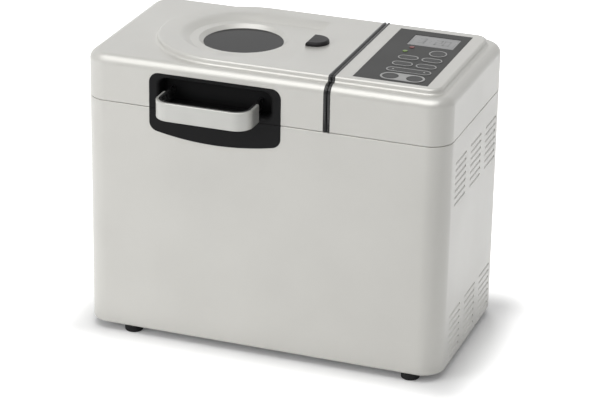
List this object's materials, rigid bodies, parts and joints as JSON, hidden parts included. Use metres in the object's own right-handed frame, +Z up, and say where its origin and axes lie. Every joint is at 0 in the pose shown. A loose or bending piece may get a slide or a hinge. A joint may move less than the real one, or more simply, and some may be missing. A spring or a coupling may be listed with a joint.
{
  "type": "bread machine",
  "caption": "Countertop bread machine with a hinged lid and round window, bow handle, side control head with keys, lift-out pan and belt-driven kneading paddle.",
  "frame": {"origin": "centre of the whole outline on the surface it stands on", "axes": "+X to the right seen from the front, +Y to the back, +Z up"},
  "size_m": [0.42, 0.2655, 0.3422],
  "materials": {
    "pearl_paint": "satin pearl paint",
    "black_plastic": "fine grained",
    "silver_trim": "metallic silver",
    "vent_plastic": "satin",
    "panel_grey": "satin film",
    "key_grey": "satin",
    "display": "clear cover",
    "red": "lens",
    "green": "lens",
    "smoked_glass": "clear",
    "liner_metal": "brushed",
    "pan_coating": "non-stick coat",
    "steel": "zinc plated",
    "element_steel": "heat tinted",
    "rubber": "moulded",
    "moulded_white": "satin",
    "board_green": "satin",
    "motor_can": "zinc plated",
    "bush_brass": "turned"
  },
  "bodies": {
    "machine": {"casing": "pearl_paint", "base_plate": "black_plastic", "feet": "rubber", "base_screws": "steel", "top_deck": "black_plastic", "oven_chamber": "liner_metal", "heating_element": "element_steel", "heater_supports": "steel", "heater_terminals": "moulded_white", "temperature_sensor": "steel", "pan_socket": "steel", "control_housing": "pearl_paint", "head_edge_plate": "black_plastic", "control_plate": "panel_grey", "display_module": "display", "red_lamp": "red", "green_lamp": "green", "key_surrounds": "silver_trim", "key_switches": "moulded_white", "control_board": "board_green", "power_board": "board_green", "motor_body": "motor_can", "motor_bracket": "steel", "drive_belt": "rubber", "bearing_housing": "black_plastic", "grip_lower_plate": "black_plastic", "cord_gland": "black_plastic", "hinge_body_leaves": "steel", "hinge_pins": "steel"},
    "lid": {"lid_shell": "pearl_paint", "lid_edge_plate": "black_plastic", "lid_liner": "liner_metal", "lid_gasket": "rubber", "lid_screws": "steel", "window_glass": "smoked_glass", "window_ring": "liner_metal", "steam_vent_cap": "vent_plastic", "grip_recess": "black_plastic", "handle_core": "black_plastic", "handle_cover": "silver_trim", "hinge_lid_leaves": "steel"},
    "pan": {"bread_pan": "pan_coating", "pan_base_ring": "pan_coating", "pan_bushing": "bush_brass"},
    "bail": {"pan_bail": "steel"},
    "paddle": {"kneading_paddle": "pan_coating", "pan_shaft": "steel"},
    "drive": {"drive_shaft": "steel", "drive_coupler": "moulded_white", "large_pulley": "moulded_white"},
    "rotor": {"motor_shaft": "steel", "motor_pulley": "moulded_white"},
    "start_key_body": {"start_key": "key_grey"},
    "stop_key_body": {"stop_key": "key_grey"},
    "timer_key_body": {"timer_key": "key_grey"},
    "hour_key_body": {"hour_key": "key_grey"},
    "minute_key_body": {"minute_key": "key_grey"},
    "crust_key_body": {"crust_key": "key_grey"},
    "size_key_body": {"size_key": "key_grey"},
    "program_key_body": {"program_key": "key_grey"}
  },
  "joints": [
    {"name": "lid_hinge", "type": "hinge", "parent": "machine", "child": "lid", "pos_m": [-0.067, 0.12925, 0.278], "axis": [-1, 0, 0], "range_deg": [0, 85]},
    {"name": "pan_lift", "type": "slide", "parent": "machine", "child": "pan", "axis": [0, 0, 1], "range_m": [0, 0.04]},
    {"name": "bail_swing", "type": "hinge", "parent": "pan", "child": "bail", "pos_m": [-0.063, 0.01425, 0.233], "axis": [1, 0, 0], "range_deg": [0, 180]},
    {"name": "drive_spin", "type": "hinge", "parent": "machine", "child": "drive", "pos_m": [-0.063, 0.01425, 0.03], "axis": [0, 0, 1], "continuous": true},
    {"name": "paddle_spin", "type": "hinge", "parent": "pan", "child": "paddle", "pos_m": [-0.063, 0.01425, 0.07], "axis": [0, 0, 1], "continuous": true},
    {"name": "motor_spin", "type": "hinge", "parent": "machine", "child": "rotor", "pos_m": [0.132, 0.01425, 0.03], "axis": [0, 0, 1], "continuous": true},
    {"name": "start_key_press", "type": "slide", "parent": "machine", "child": "start_key_body", "axis": [0, 0, -1], "range_m": [0, 0.001], "stiffness_N_per_m": 400, "springref_m": -0.0003},
    {"name": "stop_key_press", "type": "slide", "parent": "machine", "child": "stop_key_body", "axis": [0, 0, -1], "range_m": [0, 0.001], "stiffness_N_per_m": 400, "springref_m": -0.0003},
    {"name": "timer_key_press", "type": "slide", "parent": "machine", "child": "timer_key_body", "axis": [0, 0, -1], "range_m": [0, 0.001], "stiffness_N_per_m": 400, "springref_m": -0.0003},
    {"name": "hour_key_press", "type": "slide", "parent": "machine", "child": "hour_key_body", "axis": [0, 0, -1], "range_m": [0, 0.001], "stiffness_N_per_m": 400, "springref_m": -0.0003},
    {"name": "minute_key_press", "type": "slide", "parent": "machine", "child": "minute_key_body", "axis": [0, 0, -1], "range_m": [0, 0.001], "stiffness_N_per_m": 400, "springref_m": -0.0003},
    {"name": "crust_key_press", "type": "slide", "parent": "machine", "child": "crust_key_body", "axis": [0, 0, -1], "range_m": [0, 0.001], "stiffness_N_per_m": 400, "springref_m": -0.0003},
    {"name": "size_key_press", "type": "slide", "parent": "machine", "child": "size_key_body", "axis": [0, 0, -1], "range_m": [0, 0.001], "stiffness_N_per_m": 400, "springref_m": -0.0003},
    {"name": "program_key_press", "type": "slide", "parent": "machine", "child": "program_key_body", "axis": [0, 0, -1], "range_m": [0, 0.001], "stiffness_N_per_m": 400, "springref_m": -0.0003}
  ],
  "couplings": [
    {"joint": "paddle_spin", "follows": "drive_spin", "ratio": 1},
    {"joint": "motor_spin", "follows": "drive_spin", "ratio": 5}
  ]
}
